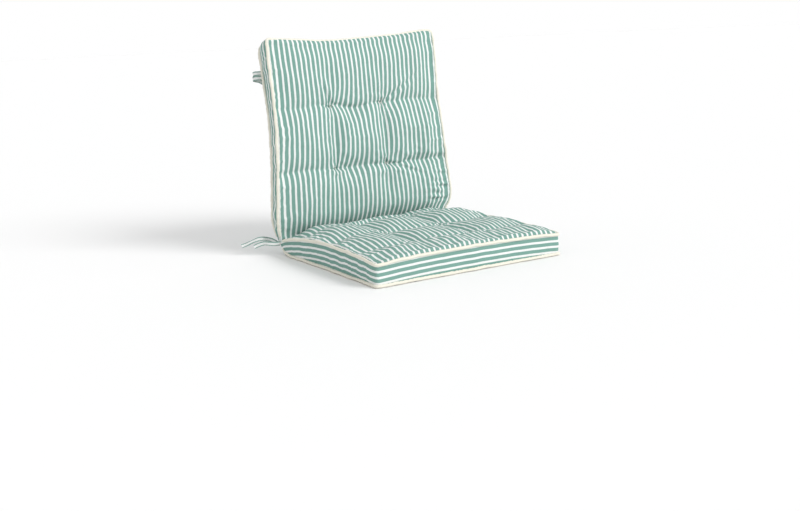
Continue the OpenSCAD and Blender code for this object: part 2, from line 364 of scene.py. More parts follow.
def plain_cloth(name, colour, bias=True):
    """Plain canvas, with its weave at 45 degrees when it is cut on the bias."""
    material, tree, shader = new_material(name, 0.86, 0.04)
    where, across, along = cloth_place(tree)
    if bias:
        across, along = (math_node(tree, "ADD", across, along),
                         math_node(tree, "SUBTRACT", across, along))
    weave = weave_height(tree, across, along, 0.0009)
    spread = 0.16
    yarns = stretched_noise(tree, where, 900, 900)
    patches = stretched_noise(tree, where, 60, 22)
    shade = math_node(tree, "ADD", math_node(tree, "MULTIPLY", yarns, spread),
                      math_node(tree, "MULTIPLY_ADD", patches, spread, 1 - spread))
    tint = ramp(tree, shade, [(0.0, tuple(0.55 * c for c in colour)), (1.0, colour)])
    tree.links.new(tint, shader.inputs["Base Color"])
    add_bump(tree, shader, math_node(tree, "ADD", weave, yarns), 0.4, 0.0002)
    return material


def twisted_thread(name, colour, pitch):
    """Thread or cord laid in a twist along its length."""
    material, tree, shader = new_material(name, 0.7, 0.1)
    where, across, along = cloth_place(tree)
    lay = math_node(tree, "SINE", math_node(tree, "MULTIPLY", math_node(
        tree, "ADD", math_node(tree, "MULTIPLY", across, 1.4), along), 2 * math.pi / pitch))
    fuzz = stretched_noise(tree, where, 3000, 800)
    shade = math_node(tree, "MULTIPLY_ADD", lay, 0.16, math_node(
        tree, "MULTIPLY_ADD", fuzz, 0.3, 0.6))
    tint = ramp(tree, shade, [(0.0, tuple(0.4 * c for c in colour)), (1.0, colour)])
    tree.links.new(tint, shader.inputs["Base Color"])
    add_bump(tree, shader, lay, 0.6, pitch * 0.2)
    return material


def fibre_filling(name, colour, scale):
    """Matted polyester fibre."""
    material, tree, shader = new_material(name, 0.95, 0.3)
    where = node(tree, "ShaderNodeTexCoord").outputs["Object"]
    tufts = node(tree, "ShaderNodeTexNoise", {"Vector": where, "Scale": scale, "Detail": 6.0,
                                              "Roughness": 0.7, "Distortion": 1.5}).outputs["Fac"]
    tint = ramp(tree, tufts, [(0.3, tuple(0.82 * c for c in colour)), (0.7, colour)])
    tree.links.new(tint, shader.inputs["Base Color"])
    add_bump(tree, shader, tufts, 0.8, 0.003)
    return material


PANEL_CANVAS = striped_canvas("striped_canvas", 0.0007)
BOXING_CANVAS = striped_canvas("boxing_canvas", 0.0004, 0.63)
TAPE_CANVAS = striped_canvas("tie_canvas", 0.0105, 0.6)
PIPING_CANVAS = plain_cloth("piping_canvas", CREAM)
BEAD_CANVAS = plain_cloth("fold_canvas", CREAM, bias=False)
SEAM_THREAD = twisted_thread("seam_thread", (0.80, 0.79, 0.70), 0.0009)
TUFT_THREAD = twisted_thread("tuft_thread", (0.74, 0.76, 0.68), 0.0022)
FILLER_CORD = twisted_thread("filler_cord", (0.84, 0.83, 0.78), 0.006)
CORE_FIBRE = fibre_filling("core_fibre", (0.86, 0.86, 0.84), 60)
WADDING_FIBRE = fibre_filling("wadding_fibre", (0.92, 0.92, 0.91), 110)


# ---------------------------------------------------------------- the tie tapes

# Routes of the left-hand tapes in millimetres, as in the CAD model: a place, and the direction of
# the tape's width. x is from the pad's left edge. The lower ones' y and z are from the fold's axis.
# The upper ones are drawn with the back section lying flat.
LOWER_TIE_FRONT = [
    ((2.8, -1.5, 0), (0, 0, 1)), ((-6, -1.5, 0), (0, 0, 1)), ((-18, 0.5, 1.5), (0, 0, 1)),
    ((-27, 5.5, 3), (0, 0, 1)), ((-32, 13, 3), (0, 0, 1)), ((-38, 19, 1), (0, 0.2, 1)),
    ((-45, 24, -2), (0, 0.4, 1)), ((-52, 28, -5.5), (0, 0.5, 1))]
LOWER_TIE_REAR = [
    ((2.8, 1.3, 0), (0, 0, 1)), ((-1, 1.3, 0), (0, 0, 1)), ((-4, 12, 4), (0, 0, 1)),
    ((-9, 24, 7), (0, 0, 1)), ((-19, 28, 10), (0, 0, 1)), ((-29, 25, 12.5), (0, 0, 1)),
    ((-40, 28, 12), (0, 0.5, 1)), ((-51, 35, 7.5), (0, 1, 0.7)), ((-63, 42, 1.5), (0, 1, 0.9)),
    ((-76, 49, -3.5), (0, 0.6, 1))]
UPPER_TIE_TOP = [
    ((1.1, 411, 4), (0, 1, 0)), ((-4, 411, 1), (0, 1, 0)), ((-7, 411, -5), (0, 1, 0)),
    ((-8, 410, -13), (0, 1, 0)), ((-5, 409, -21), (0, 1, 0)), ((4, 408, -26), (0, 1, 0)),
    ((16, 407, -26), (0, 1, 0)), ((28, 403, -23), (0.3, 1, 0)), ((37, 388, -19), (1, 0.7, 0)),
    ((40, 352, -16), (1, 0, 0)), ((40, 315, -15), (1, 0, 0.2))]
UPPER_TIE_LOW = [
    ((1.1, 400, 4), (0, 1, 0)), ((-4, 400, 1), (0, 1, 0)), ((-7, 400, -5), (0, 1, 0)),
    ((-8, 399, -13), (0, 1, 0)), ((-6, 398, -22), (0, 1, 0)), ((3, 396, -29), (0, 1, 0)),
    ((15, 393, -31), (0.2, 1, 0)), ((27, 384, -29), (0.7, 1, 0)), ((34, 367, -26), (1, 0.3, 0)),
    ((37, 342, -24), (1, 0, 0)), ((36, 320, -23), (1, 0, 0.2))]
CAD_HALF_WIDTH = 0.240
TAPE_WIDTH, TAPE_THICK = 0.010, 0.0016


def place_seat(p):
    """From a section lying flat to the seat's place."""
    return np.stack([p[..., 0], FOLD_Y - p[..., 1], p[..., 2]], -1)


def place_back(p):
    """From a section lying flat to the back's place, turned up about the fold."""
    c, s = math.cos(BACK_TURN), math.sin(BACK_TURN)
    u, w = p[..., 1], p[..., 2] - FOLD_Z
    return np.stack([p[..., 0], FOLD_Y + u * c - w * s, FOLD_Z + u * s + w * c], -1)


def turn_back(v):
    """A direction of the flat section, as it points on the back."""
    c, s = math.cos(BACK_TURN), math.sin(BACK_TURN)
    return np.stack([v[..., 0], v[..., 1] * c - v[..., 2] * s, v[..., 1] * s + v[..., 2] * c], -1)


def tape_section():
    """Half-thickness across a folded tape: two plies, thinner at the folds, over -1 to 1."""
    v = np.array([-1, -0.97, -0.86, -0.6, -0.3, 0, 0.3, 0.6, 0.86, 0.97, 1])
    t = np.array([0.3, 0.8, 1.0, 0.86, 0.8, 0.86, 0.8, 0.86, 1.0, 0.8, 0.3])
    return v, t


def make_tape(name, route, upper, mirrored, body, seed):
    """A folded tape along its route, stitched along both edges and across its hem."""
    places = np.array([p for p, _ in route], float) / 1000
    widths = np.array([w for _, w in route], float)
    if upper:
        # The seam stands a little inside the CAD model's straight edge here.
        places[0, 0] += 0.0075
        places = place_back(places - [CAD_HALF_WIDTH, 0, 0])
        widths = turn_back(widths)
    else:
        places = places + [-CAD_HALF_WIDTH, FOLD_Y, FOLD_Z]
    line = spline(places, 5)
    width = spline(unit(widths), 5)
    if mirrored:
        line, width = line * [-1, 1, 1], width * [-1, 1, 1]
    along = unit(np.gradient(line, axis=0))
    width = unit(width - along * np.sum(width * along, -1, keepdims=True))
    out = np.cross(along, width)
    run = run_along(line)
    v, t = tape_section()
    half, thick = TAPE_WIDTH / 2, TAPE_THICK / 2
    cup = ripples(run[:, None], v * 0.004, 0.03, seed) * 0.0004 * (1 - v**2)
    face = line[:, None] + width[:, None] * (v * half)[:, None] + out[:, None] * cup[..., None]
    front = face + out[:, None] * (t * thick)[:, None]
    rear = face - out[:, None] * (t * thick)[:, None]
    points, faces = shell(front, rear)
    fabric = np.stack(np.broadcast_arrays(v * half, run[:, None]), -1).reshape(-1, 2)
    piece = make_piece(name + "_tape", points, faces, np.concatenate([fabric, fabric]),
                       TAPE_CANVAS, body)
    stitching = Heap()
    for edge in (-0.78, 0.78):
        for side in (1, -1):
            seam = line + width * (edge * half) + out * side * (thick * 0.98)
            add_stitches(stitching, seam, out * side, 0.0032, 0.0022)
    hem = line[-6:-5] + width[-6:-5] * np.linspace(-0.7, 0.7, 12)[:, None] * half
    for side in (1, -1):
        normal = np.repeat(out[-6:-5] * side, 12, 0)
        add_stitches(stitching, hem + normal * thick * 0.95, normal, 0.0026, 0.002)
    thread = stitching.piece(name + "_tape_stitching", SEAM_THREAD, body, "tie_tape")
    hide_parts(name)


STITCH_R = 0.00022


def add_stitches(heap, line, normals, step, size):
    """Short sewn stitches along a line, each a small bowed thread that dips in at its ends."""
    even, run = resample(line, step / 2)
    full = run_along(line)
    facing = unit(np.stack([np.interp(run, full, normals[:, k]) for k in range(3)], -1))
    bow = np.array([-0.9, 0.55, 0.8, 0.55, -0.9]) * STITCH_R
    share = np.linspace(-0.5, 0.5, 5)
    for i in range(1, len(even) - 1, 2):
        ahead = unit(even[i + 1] - even[i - 1])
        path = even[i] + ahead * (share * size)[:, None] + facing[i] * bow[:, None]
        heap.add(*tube(path, STITCH_R * np.array([0.7, 1, 1, 1, 0.7]), 5))


for number, (side, mirrored) in enumerate((("left", False), ("right", True))):
    for k, (part, route, upper) in enumerate((
            ("seat_%s_tie_front", LOWER_TIE_FRONT, False),
            ("seat_%s_tie_rear", LOWER_TIE_REAR, False),
            ("back_%s_tie_top", UPPER_TIE_TOP, True),
            ("back_%s_tie_low", UPPER_TIE_LOW, True))):
        make_tape(part % side, route, upper, mirrored, part[:4], 40 + 10 * number + k)


# ---------------------------------------------------------------- the two sections' shapes

class Section:
    """One padded section, described by its edges, crown and tufts.

    Curves are (places, values). width, right_edge, top_side, top_middle and low_side run from the
    fold to the far edge, and far_edge runs across. They give the half width, how much further the
    right side is drawn out, the height of the top seam at the sides and in the middle, the height
    of the bottom seam, and how far the far edge is out.
    The reaches say how far in from an edge the crown rises.
    columns and rows place the tufts. row_pull says how hard each row is drawn down, left and right.
    A swell is (x, u, size, height) and a crumple (x, u, reach, height).
    A fold is (column, row, degrees, length, depth) and runs out from that tuft.
    boxing_folds are the heights of the side strip's large folds, small folds and sag.
    """

    def __init__(self, name, place, **facts):
        self.name, self.place = name, place
        self.__dict__.update(facts)

    def half_width(self, u):
        return smooth_curve(*self.width, u)

    def far_line(self, s):
        """How far the far edge reaches, across the section from -1 to 1."""
        return self.length + smooth_curve(*self.far_edge, s)

    def plan(self, s, t, cut=0.0):
        """Place across and along of a point of a square cloth that is drawn to the outline."""
        start = 0.0022      # the cloth begins just clear of the fold's bead
        u = start + t * (self.length - start)
        x = s * self.half_width(u)
        far = self.far_line(s) - cut
        u = u + (far - self.length) * smoothstep(0.6, 1, t)
        r = self.corner
        edge = self.half_width(u)
        a = np.clip((np.abs(x) - (edge - r)) / r, 0, 1)
        b = np.clip((u - (far - r)) / r, 0, 1)
        x = np.sign(x) * np.where(a > 0, edge - r + r * a * np.sqrt(1 - b * b / 2), np.abs(x))
        u = np.where(b > 0, far - r + r * b * np.sqrt(1 - a * a / 2), u)
        return x, u

    def right_pull(self, x, u):
        """How much further the right-hand side is drawn out than the left."""
        return smooth_curve(*self.right_edge, u) * np.clip((x - 0.09) / 0.14, 0, 1) ** 2

    def seam_height(self, x, u, lower=False):
        """Height of the cloth before it is stuffed."""
        if lower:
            return smooth_curve(*self.low_side, u)
        w = smooth_curve(*self.top_side, u)
        share = np.clip(np.abs(x) / HALF, 0, 1)
        middle = smooth_curve(*self.top_middle, u)
        w = w + (middle - w) * smoothstep(0, 0.09, self.half_width(u) - np.abs(x))
        return w + self.top_far * (1 - share**3) * smoothstep(0.62, 1, u / self.length)


def tuft_pull(section, x, u, strength, reach):
    """Draws cloth in the plane towards each tuft."""
    dx, du = np.zeros_like(x), np.zeros_like(u)
    for tx in section.columns:
        for tu in section.rows:
            fall = strength * np.exp(-((x - tx) ** 2 + (u - tu) ** 2) / reach**2)
            dx -= (x - tx) * fall
            du -= (u - tu) * fall
    return x + dx, u + du


def valleys(section, x, u):
    """How deep the tufts, and the creases that run between them, draw the cloth down."""
    shape = section.relief
    left_tuft, right_tuft = section.columns
    rows = np.zeros_like(x)
    for tu, (left, right) in zip(section.rows, section.row_pull):
        outside = np.maximum(left_tuft - x, x - right_tuft)
        share = np.where(x < 0, left, right)
        share = 1 - (1 - share) * smoothstep(0, 0.05, outside)
        bend = 0.003 * ripples(x, 0 * u, 0.16, section.seed + int(tu * 1000)) * smoothstep(
            0, 0.05, np.abs(outside))
        rows = np.maximum(rows, shape["row"] * share
                          * np.exp(-np.hypot(u - tu - bend, 0.0012) / shape["row_reach"]))
    columns = np.zeros_like(x)
    beyond = np.maximum(section.rows[0] - u, 0) + np.maximum(u - section.rows[-1], 0)
    for tx in section.columns:
        bend = 0.004 * ripples(0 * x, u, 0.12, section.seed + 9 + int(tx > 0))
        columns = np.maximum(columns, shape["column"] * np.exp(-beyond / 0.055) * np.exp(
            -np.hypot(x - tx - bend * smoothstep(0, 0.04, beyond), 0.003) / shape["column_reach"]))
    tufts = np.zeros_like(x)
    for tx in section.columns:
        for tu in section.rows:
            gap = np.hypot(x - tx, u - tu)
            tufts = np.maximum(tufts, shape["tuft"] * np.exp(-np.hypot(gap, 0.004) / 0.024))
    return (rows**3 + columns**3 + tufts**3 + 1e-15) ** (1 / 3)


def strain_folds(section, x, u):
    """Narrow folds that run out from the tufts across the pillows."""
    total = np.zeros_like(x)
    for column, row, degrees, length, depth in section.folds:
        tx, tu = section.columns[column], section.rows[row]
        turn = math.radians(degrees)
        ahead = (x - tx) * math.cos(turn) + (u - tu) * math.sin(turn)
        aside = -(x - tx) * math.sin(turn) + (u - tu) * math.cos(turn)
        wide = 0.0035 + 0.05 * np.clip(ahead, 0, length)
        fall = smoothstep(0, 0.012, ahead) * (1 - smoothstep(0.35, 1.0, ahead / length))
        total = total - depth * fall * np.exp(-np.abs(aside) / wide)
        total = total + 0.45 * depth * fall * np.exp(-((np.abs(aside) - 0.010) / 0.006) ** 2)
    return total


def top_grid(section, s, t):
    """The top cloth before it is relaxed: section coordinates and cloth coordinates."""
    x, u = section.plan(s, t)
    side_gap = section.half_width(u) - np.abs(x)
    far_gap = section.far_line(s) - u
    inside = smoothstep(0, 0.03, np.minimum(side_gap, far_gap))
    x, u = tuft_pull(section, x, u, 0.34 * inside, 0.040)
    seed = section.seed
    near = rise(u, section.near_reach, 1.0)
    w = section.seam_height(x, u)
    reach = np.where(x < 0, *section.side_reach)
    w = w + section.crown * rise(side_gap, reach) * rise(far_gap, section.far_reach, 0.7) * near
    for sx, su, size, height in section.swells:
        w = w + height * np.exp(-((x - sx) ** 2 + (u - su) ** 2) / size**2) * rise(side_gap, 0.04)
    open_edge = rise(side_gap, 0.034, 1.0) * rise(far_gap, 0.04, 1.0) * near
    w = w - valleys(section, x, u) * open_edge + strain_folds(section, x, u) * open_edge

    close_row = np.zeros_like(x)
    for tu, (left, right) in zip(section.rows, section.row_pull):
        share = np.where(x < 0, left, right)
        close_row = np.maximum(close_row, share * np.exp(-(np.abs(u - tu) / 0.014) ** 1.5))
    w = w + section.relief["pleat"] * ripples(x, u * 0.25, 0.017, seed + 2) * close_row * open_edge
    w = w + (0.0010 * ripples(x, u, 0.10, seed + 3) + 0.00022 * ripples(x, u, 0.03, seed + 4)
             ) * open_edge
    side_pucker = np.exp(-np.minimum(side_gap, 0.2) / 0.012) * smoothstep(0, 0.004, side_gap)
    far_pucker = np.exp(-far_gap / 0.012) * smoothstep(0, 0.004, far_gap)
    w = w + 0.0006 * side_pucker * ripples(x * 0.1, u, 0.015, seed + 5) * near
    w = w + 0.0006 * far_pucker * ripples(x, u * 0.1, 0.015, seed + 6)
    for cx, cu, reach, height in section.crumples:
        local = np.exp(-((x - cx) ** 2 + ((u - cu) * 0.6) ** 2) / reach**2)
        w = w + height * local * ripples(x * 0.5, u, 0.020, seed + 8) * open_edge
    # The stuffed cloth leans out over its seams.
    over = section.overhang * near
    x = x + np.sign(x) * over * np.exp(-((side_gap - 0.010) / 0.007) ** 2) * np.clip(
        side_gap / 0.006, 0, 1)
    u = u + over * np.exp(-((far_gap - 0.010) / 0.007) ** 2) * np.clip(far_gap / 0.006, 0, 1)
    x = x + section.right_pull(x, u)
    return np.stack([x, u, w], -1), np.stack([s * HALF + section.stripe_shift,
                                              t * section.length], -1)


def low_grid(section, s, t):
    """The underside's cloth."""
    x, u = section.plan(s, t, section.low_cut)
    side_gap = section.half_width(u) - np.abs(x)
    far_gap = section.far_line(s) - section.low_cut - u
    x, u = tuft_pull(section, x, u, 0.16 * smoothstep(0, 0.03, np.minimum(side_gap, far_gap)),
                     0.03)
    open_edge = rise(side_gap, 0.03, 1.0) * rise(far_gap, 0.03, 1.0) * smoothstep(0, 0.05, u)
    w = section.seam_height(x, u, lower=True) - section.belly * open_edge
    dimple = np.zeros_like(x)
    for tx in section.columns:
        for tu in section.rows:
            gap = np.hypot(x - tx, u - tu)
            dimple = np.maximum(dimple, np.exp(-np.hypot(gap, 0.002) / 0.018))
    w = w + section.dimple * dimple * open_edge
    w = w + 0.0004 * (1 + ripples(x, u, 0.05, section.seed + 12) * 0.8) * open_edge
    x = x + section.right_pull(x, u)
    return np.stack([x, u, w], -1), np.stack([s * HALF, t * section.length], -1)


SEAT = Section(
    "seat", place_seat, length=0.4720, corner=0.007, low_cut=0.0, stripe_shift=-0.003,
    crown=0.0215, side_reach=(0.085, 0.046), far_reach=0.062, near_reach=0.050,
    overhang=0.0025, belly=0.0036, dimple=0.0032,
    columns=(-0.076, 0.076), rows=(0.090, 0.235, 0.380), seed=100,
    boxing_folds=(0.0006, 0.0004, 0.0005), boxing_bulge=0.0024, corner_bulge=0.0,
    far_calm=0.3, far_roll=0.0,
    right_edge=([0, 0.1, 0.37, 0.42, 0.4720], [0, 0, 0, 0.002, 0.006]),
    far_edge=([-1, -0.5, 0, 0.5, 1], [0, -0.0008, -0.0012, -0.0008, 0.001]),
    width=([0, 0.05, 0.15, 0.25, 0.40, 0.4720],
           [0.2355, 0.2365, 0.2355, 0.2355, 0.2378, 0.2400]),
    top_side=([0, 0.02, 0.055, 0.121, 0.22, 0.30, 0.355, 0.437, 0.4720],
              [0.0292, 0.0355, 0.0435, 0.0525, 0.060, 0.0595, 0.058, 0.053, 0.0495]),
    top_middle=([0, 0.02, 0.045, 0.09, 0.14, 0.22, 0.30, 0.355, 0.437, 0.4720],
                [0.0292, 0.0395, 0.050, 0.060, 0.0635, 0.0625, 0.0605, 0.058, 0.053, 0.0495]),
    swells=((0.170, 0.125, 0.085, 0.0050),),
    top_far=0.0064,
    low_side=([0, 0.008, 0.020, 0.033, 0.045, 0.060, 0.080, 0.11, 0.4720],
              [0.0245, 0.0185, 0.0115, 0.0070, 0.0050, 0.0044, 0.0042, 0.0042, 0.0042]),
    row_pull=((0.55, 0.65), (0.6, 0.85), (0.55, 0.7)),
    relief=dict(row=0.0195, row_reach=0.026, column=0.015, column_reach=0.026, tuft=0.020,
                pleat=0.0005),
    folds=((0, 2, 62, 0.08, 0.0022), (1, 2, 62, 0.07, 0.0016), (1, 1, 28, 0.08, 0.0016),
           (0, 1, 205, 0.07, 0.0014), (1, 2, -28, 0.08, 0.0016), (0, 2, 200, 0.07, 0.0014)),
    crumples=((0.03, 0.055, 0.06, 0.0008), (0.19, 0.07, 0.06, 0.0008)))
# The back's front seam is bowed by the chair's frame, the same at its sides and its middle.
BACK_TOP = ([0, 0.02, 0.05, 0.08, 0.11, 0.174, 0.24, 0.327, 0.36, 0.44, 0.4900],
            [0.0292, 0.0365, 0.0470, 0.0530, 0.0560, 0.0590, 0.0580, 0.0530, 0.0510, 0.0465, 0.0455])
BACK = Section(
    "back", place_back, length=0.4900, corner=0.012, low_cut=0.014, stripe_shift=0.0,
    crown=0.021, side_reach=(0.085, 0.070), far_reach=0.055, near_reach=0.070,
    overhang=0.0035, belly=0.0065, dimple=0.0085,
    columns=(-0.079, 0.066), rows=(0.168, 0.320), seed=200,
    right_edge=([0, 0.022, 0.036, 0.052, 0.08, 0.11, 0.174, 0.24, 0.327, 0.44, 0.4900],
                [0, 0, 0.0030, 0.0085, 0.0100, 0.0070, 0.0045, 0.0040, 0.0030, 0.0030, 0.0010]),
    boxing_folds=(0.0011, 0.0002, 0.0010), boxing_bulge=0.0028, corner_bulge=0.0045,
    far_calm=0.15, far_roll=0.0034,
    far_edge=([-1, -0.7, -0.33, 0, 0.3, 0.6, 0.85, 1],
              [-0.0010, -0.0062, -0.0118, -0.0105, -0.0073, -0.0037, 0.0012, 0.0025]),
    width=([0, 0.05, 0.11, 0.174, 0.24, 0.327, 0.40, 0.44, 0.4900],
           [0.2360, 0.2438, 0.2428, 0.2384, 0.2333, 0.2300, 0.2306, 0.2313, 0.2313]),
    top_side=BACK_TOP,
    top_middle=BACK_TOP,
    swells=(),
    top_far=-0.004,
    low_side=([0, 0.010, 0.025, 0.05, 0.08, 0.11, 0.174, 0.24, 0.28, 0.327, 0.36, 0.40, 0.44,
               0.4900],
              [0.0245, 0.0205, 0.0180, 0.0180, 0.0205, 0.0230, 0.0260, 0.0230, 0.0195, 0.0145,
               0.0105, 0.0060, 0.0025, 0.0000]),
    row_pull=((0.6, 0.95), (0.42, 0.7)),
    relief=dict(row=0.0265, row_reach=0.025, column=0.0205, column_reach=0.022, tuft=0.0275,
                pleat=0.0009),
    folds=((0, 1, 114, 0.10, 0.0044), (1, 1, 33, 0.16, 0.0044), (1, 0, -21, 0.15, 0.0042),
           (1, 0, 150, 0.06, 0.0018), (0, 0, 200, 0.08, 0.0026), (0, 1, 170, 0.07, 0.0018)),
    crumples=((0.215, 0.115, 0.035, 0.0015), (0.215, 0.055, 0.035, 0.0013)))


# How many steps the cloth settles for, and the furthest that a point of it may move.
SIM_FRAMES, FURTHEST = 20, 0.006


def relax(name, grid, held_share):
    """Lets the cloth settle under pressure between its seams and tufts. held_share is 1 where fixed."""
    n, m = grid.shape[:2]
    mesh = bpy.data.meshes.new(name)
    mesh.from_pydata([tuple(p) for p in grid.reshape(-1, 3)], [], grid_faces(n, m).tolist())
    cloth = bpy.data.objects.new(name, mesh)
    bpy.context.scene.collection.objects.link(cloth)
    held = cloth.vertex_groups.new(name="held")
    for i, share in enumerate(held_share.ravel()):
        held.add([i], float(share), "REPLACE")
    modifier = cloth.modifiers.new("cloth", "CLOTH")
    settings = modifier.settings
    settings.quality = 6
    settings.mass = 0.0004
    settings.tension_stiffness = settings.compression_stiffness = 20
    settings.shear_stiffness = 8
    settings.bending_stiffness = 0.6
    settings.tension_damping = settings.compression_damping = settings.shear_damping = 8
    settings.air_damping = 4
    settings.use_pressure = True
    settings.uniform_pressure_force = 4
    settings.vertex_group_mass = "held"
    settings.pin_stiffness = 1.0
    settings.shrink_min = -0.012
    settings.effector_weights.gravity = 0
    modifier.collision_settings.use_self_collision = False
    modifier.collision_settings.use_collision = False
    modifier.point_cache.frame_start, modifier.point_cache.frame_end = 1, SIM_FRAMES
    scene = bpy.context.scene
    for number in range(1, SIM_FRAMES + 1):
        scene.frame_set(number)
    settled = cloth.evaluated_get(bpy.context.evaluated_depsgraph_get()).data
    moved = np.empty(n * m * 3, np.float32)
    settled.vertices.foreach_get("co", moved)
    scene.frame_set(1)
    bpy.data.objects.remove(cloth)
    bpy.data.meshes.remove(mesh)
    step = moved.reshape(n, m, 3).astype(float) - grid
    length = np.linalg.norm(step, axis=-1, keepdims=True)
    print(name, "moved", float(length.mean()), float(length.max()))
    return grid + step * (FURTHEST * np.tanh(length / FURTHEST) / np.maximum(length, 1e-9))


def holding(section, flat):
    """1 at the seams and the tufts, where the cloth can't move, and a light hold elsewhere."""
    n, m = flat.shape[:2]
    held = np.full((n, m), 0.02)
    for tu, (left, right) in zip(section.rows, section.row_pull):
        share = np.where(flat[..., 0] < 0, left, right)
        held = np.maximum(held, 0.25 * share * np.exp(-((flat[..., 1] - tu) / 0.006) ** 2))
    held[0, :] = held[-1, :] = held[:, 0] = held[:, -1] = 1
    held[:, :2] = 1
    for tx in section.columns:
        for tu in section.rows:
            gap = np.hypot(flat[..., 0] - tx, flat[..., 1] - tu)
            held = np.maximum(held, np.clip(1.25 - gap / 0.006, 0, 1))
            held.ravel()[np.argmin(gap)] = 1
    return held


def border(grid):
    """The left side, far edge and right side of a grid, as one line from fold to fold."""
    return np.concatenate([grid[0, :-1], grid[:, -1], grid[-1, -2::-1]])


def tapered(length, run, radius, least, reach):
    """A tube's radii, drawn in towards both ends."""
    gap = np.minimum(run, length - run)
    return least + (radius - least) * smoothstep(0, reach, gap)


def outward_of(section, line):
    """Level directions that point out of the section along a seam."""
    ahead = unit(np.gradient(line, axis=0)) * [1, 1, 0]
    outward = unit(np.cross([0, 0, 1.0], unit(ahead)))
    away = np.sum(outward * (line - [0, section.length / 2, 0]))
    return outward if away > 0 else -outward


def make_piping(section, which, line, pucker, body, seed):
    """Cream canvas sewn round a cord, with the puckers of a gathered seam."""
    full = section.name + "_" + which
    start = 0.0135
    run = run_along(line)
    ends = smoothstep(0.01, 0.06, np.minimum(run, run[-1] - run))[:, None]
    # Along the back's top the cloth rolls over its piping.
    rolled = section.far_roll * smoothstep(
        -0.02, 0.02, np.minimum(run, run[-1] - run) - section.length)[:, None]
    rolled = rolled if which == "front" else 0 * rolled
    line = line + outward_of(section, line) * (0.0016 * ends - 0.5 * rolled)
    line = line - UP * rolled
    line, run = resample(section.place(line), 0.0025)
    length = run[-1]
    keep = (run > start) & (run < length - start)
    line, run = line[keep], run[keep] - start
    length = run[-1]
    sway = np.stack([ripples(run, 0 * run, 0.05, seed + k) for k in range(3)], -1)
    calm = tapered(length, run, 1, 0, 0.03)[:, None]
    line = line + sway * 0.00045 * calm
    line[:, 2] = np.maximum(line[:, 2], PIPING_R + 0.0009)
    sides = 16
    radius = tapered(length, run, PIPING_R, 0.0026, 0.02)
    angle = 2 * math.pi * np.arange(sides) / sides
    folds = ripples(run[:, None] + 0.0016 * angle, 0 * angle, 0.0085, seed + 5)
    points, faces, fabric = tube(line, radius[:, None] * (1 + pucker * folds), sides)
    cover = make_piece(full + "_piping", points, faces, fabric, PIPING_CANVAS, body)
    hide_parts(full + "_piping_cover")
    points, faces, fabric = tube(line[1:-1], radius[1:-1] * 0.62, 10)
    filler = make_piece(full + "_filler", points, faces, fabric, FILLER_CORD, body)
    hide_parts(full + "_piping_cord")
    return line


def make_boxing(section, top, low, body):
    """The side strip between the two seams, with its stripes along its length."""
    top, low = (finer(line[:, None].repeat(2, 1))[:, 0] for line in (top, low))
    middle = (top + low) / 2
    outward = outward_of(section, middle)
    run = run_along(middle)
    v = np.linspace(0, 1, 11)
    height = np.linalg.norm(top - low, axis=1)
    arch = 4 * v * (1 - v) * np.clip(height / 0.03, 0, 1)[:, None]
    # The far edge is drawn tighter than the two sides.
    from_end = np.minimum(run, run[-1] - run)[:, None]
    loose = 1 - (1 - section.far_calm) * smoothstep(-0.05, 0.02, from_end - section.length)
    big, small, sag = (size * loose for size in section.boxing_folds)
    seed = section.seed
    at_corner = np.exp(-((from_end - section.length + 0.004) / 0.028) ** 2)
    bulge = (section.boxing_bulge * (0.3 + 0.7 * loose) + section.corner_bulge * at_corner) * arch
    bulge = bulge + big * ripples(run[:, None], v * 0.012, 0.036, seed + 21) * arch
    bulge = bulge + small * ripples(run[:, None], v * 0.03, 0.013, seed + 22) * np.sqrt(arch)
    sag = sag * ripples(run[:, None], v * 0.02, 0.05, seed + 23) * arch
    drop = top[:, None] * (1 - v)[:, None] + low[:, None] * v[:, None]
    outer = drop + outward[:, None] * bulge[..., None] + UP * sag[..., None]
    inner = outer - outward[:, None] * CANVAS
    fabric = np.stack(np.broadcast_arrays(-(v * height[:, None]), run[:, None]), -1).reshape(-1, 2)
    points, faces = shell(section.place(outer), section.place(inner))
    piece = make_piece(section.name + "_boxing_strip", points, faces,
                       np.concatenate([fabric, fabric]), BOXING_CANVAS, body)
    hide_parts(section.name + "_boxing")


